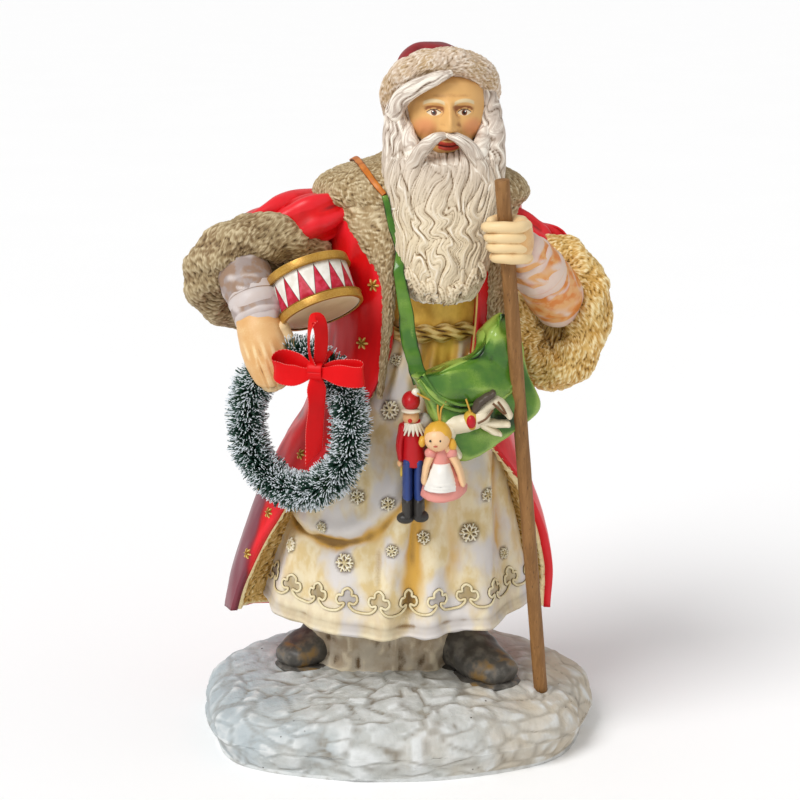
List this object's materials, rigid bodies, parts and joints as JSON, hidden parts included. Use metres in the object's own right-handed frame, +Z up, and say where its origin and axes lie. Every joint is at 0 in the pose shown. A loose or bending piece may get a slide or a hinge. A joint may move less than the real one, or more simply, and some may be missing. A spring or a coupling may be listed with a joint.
{
  "type": "santa figurine",
  "caption": "Painted cast figure in a fur-lined coat on a snowy mound, with a wooden staff, a bottle-brush wreath and a ribbon bow.",
  "frame": {"origin": "on the surface that the mound stands on, below the middle of the figurine's bounding box", "axes": "+Z up, the figure faces -Y, +X to the right of someone who looks at its face"},
  "size_m": [0.265, 0.1958, 0.45],
  "materials": {
    "cast_resin": "hand-painted, satin",
    "staff_wood": "painted brown, satin",
    "bristle": "matte, frosted tips",
    "ribbon": "satin"
  },
  "bodies": {
    "root": {"cast_figure": "cast_resin", "staff": "staff_wood", "wreath": "bristle", "bow": "ribbon"}
  },
  "joints": []
}
